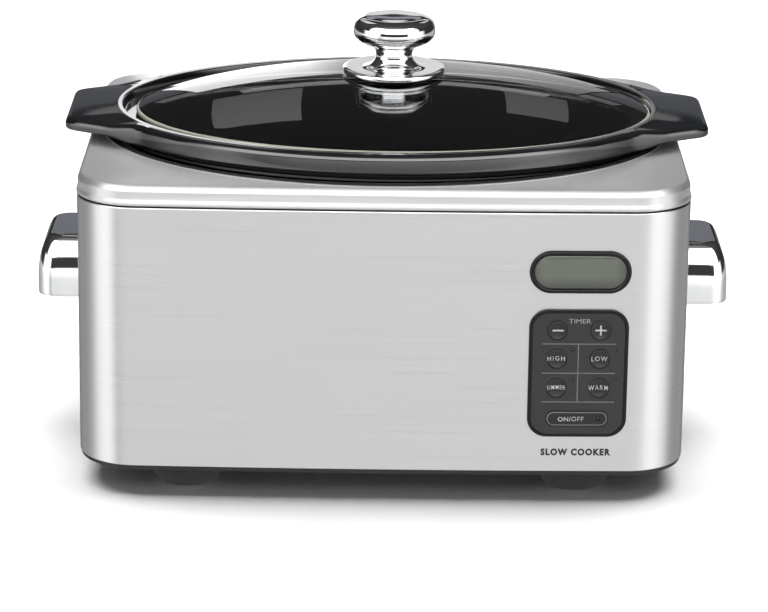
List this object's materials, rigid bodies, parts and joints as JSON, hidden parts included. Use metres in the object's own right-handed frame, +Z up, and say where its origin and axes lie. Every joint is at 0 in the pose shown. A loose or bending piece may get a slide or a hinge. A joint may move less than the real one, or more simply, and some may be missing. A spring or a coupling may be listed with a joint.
{
  "type": "slow cooker",
  "caption": "Oval slow cooker with brushed steel housing, lift-out black crock, domed glass lid with chrome knob, chrome side handles and a push-button timer panel.",
  "frame": {"origin": "centre of the footprint, on the surface the feet stand on", "axes": "+Z up, +X to the right seen from the front along the long side with the side handles at its ends, -Y out of the front with the control panel"},
  "size_m": [0.4646, 0.314, 0.285],
  "materials": {
    "steel_body": "stainless sheet, brushed along its length",
    "steel_deck": "stainless pressing, brushed along X, rolled edges brighter",
    "black_base": "moulded black phenolic, semi gloss",
    "rubber": "moulded black rubber",
    "zinc": "zinc plated steel",
    "chrome": "polished chrome plating",
    "well_metal": "aluminised steel sheet, dull",
    "heater_band": "glass-fibre and mica band",
    "display_frame": "black polished bezel",
    "display_glass": "olive grey reflective liquid crystal display behind clear lens",
    "panel_plastic": "charcoal membrane over moulded frame",
    "key_plastic": "charcoal satin keys",
    "led_lens": "smoked indicator lens",
    "inner_plastic": "flame retardant black plastic",
    "seal_rubber": "black silicone rubber",
    "circuit_board": "green solder mask",
    "coil_metal": "laminated core, varnished",
    "wire_sleeve": "woven glass-fibre sleeve",
    "stoneware": "black glazed stoneware, high gloss",
    "lid_glass": "clear tempered glass, ground edge"
  },
  "bodies": {
    "housing": {"body_wrap": "steel_body", "top_deck": "steel_deck", "base_tray": "black_base", "foot_front_left": "rubber", "foot_front_right": "rubber", "foot_rear_left": "rubber", "foot_rear_right": "rubber", "foot_screw_front_left": "zinc", "foot_screw_front_right": "zinc", "foot_screw_rear_left": "zinc", "foot_screw_rear_right": "zinc", "handle_screw_left_front": "zinc", "handle_screw_left_rear": "zinc", "handle_screw_right_front": "zinc", "handle_screw_right_rear": "zinc", "well_nut": "zinc", "well_tie_bolt": "zinc", "temperature_sensor": "zinc", "sensor_bracket": "zinc", "thermal_fuse": "zinc", "side_handle_left": "chrome", "side_handle_right": "chrome", "handle_plate_left": "chrome", "handle_plate_right": "chrome", "heating_well": "well_metal", "heat_shield": "well_metal", "band_heater": "heater_band", "display_bezel": "display_frame", "display_lens": "display_glass", "lcd_module": "display_glass", "control_panel": "panel_plastic", "led_power": "led_lens", "led_high": "led_lens", "led_low": "led_lens", "led_simmer": "led_lens", "led_warm": "led_lens", "control_box": "inner_plastic", "relay": "inner_plastic", "switch_sheet": "seal_rubber", "cord_gland": "seal_rubber", "control_board": "circuit_board", "power_board": "circuit_board", "transformer": "coil_metal", "heater_lead_live": "wire_sleeve", "heater_lead_neutral": "wire_sleeve"},
    "crock": {"crock": "stoneware"},
    "lid": {"glass_lid": "lid_glass", "knob": "chrome", "knob_gasket": "seal_rubber", "knob_washer": "chrome", "knob_screw": "chrome"},
    "key_timer_down": {"button_timer_down": "key_plastic"},
    "key_timer_up": {"button_timer_up": "key_plastic"},
    "key_high": {"button_high": "key_plastic"},
    "key_low": {"button_low": "key_plastic"},
    "key_simmer": {"button_simmer": "key_plastic"},
    "key_warm": {"button_warm": "key_plastic"},
    "key_power": {"button_power": "key_plastic"}
  },
  "joints": [
    {"name": "crock_lift", "type": "slide", "parent": "housing", "child": "crock", "axis": [0, 0, 1], "range_m": [0, 0.17]},
    {"name": "lid_lift", "type": "slide", "parent": "crock", "child": "lid", "axis": [0, 0, 1], "range_m": [0, 0.08]},
    {"name": "press_timer_down", "type": "slide", "parent": "housing", "child": "key_timer_down", "axis": [-0.0226, 0.9997, 0], "range_m": [0, 0.0008], "stiffness_N_per_m": 2500, "springref_m": -0.0003},
    {"name": "press_timer_up", "type": "slide", "parent": "housing", "child": "key_timer_up", "axis": [-0.0226, 0.9997, 0], "range_m": [0, 0.0008], "stiffness_N_per_m": 2500, "springref_m": -0.0003},
    {"name": "press_high", "type": "slide", "parent": "housing", "child": "key_high", "axis": [-0.0226, 0.9997, 0], "range_m": [0, 0.0008], "stiffness_N_per_m": 2500, "springref_m": -0.0003},
    {"name": "press_low", "type": "slide", "parent": "housing", "child": "key_low", "axis": [-0.0226, 0.9997, 0], "range_m": [0, 0.0008], "stiffness_N_per_m": 2500, "springref_m": -0.0003},
    {"name": "press_simmer", "type": "slide", "parent": "housing", "child": "key_simmer", "axis": [-0.0226, 0.9997, 0], "range_m": [0, 0.0008], "stiffness_N_per_m": 2500, "springref_m": -0.0003},
    {"name": "press_warm", "type": "slide", "parent": "housing", "child": "key_warm", "axis": [-0.0226, 0.9997, 0], "range_m": [0, 0.0008], "stiffness_N_per_m": 2500, "springref_m": -0.0003},
    {"name": "press_power", "type": "slide", "parent": "housing", "child": "key_power", "axis": [-0.0226, 0.9997, 0], "range_m": [0, 0.0008], "stiffness_N_per_m": 2500, "springref_m": -0.0003}
  ]
}
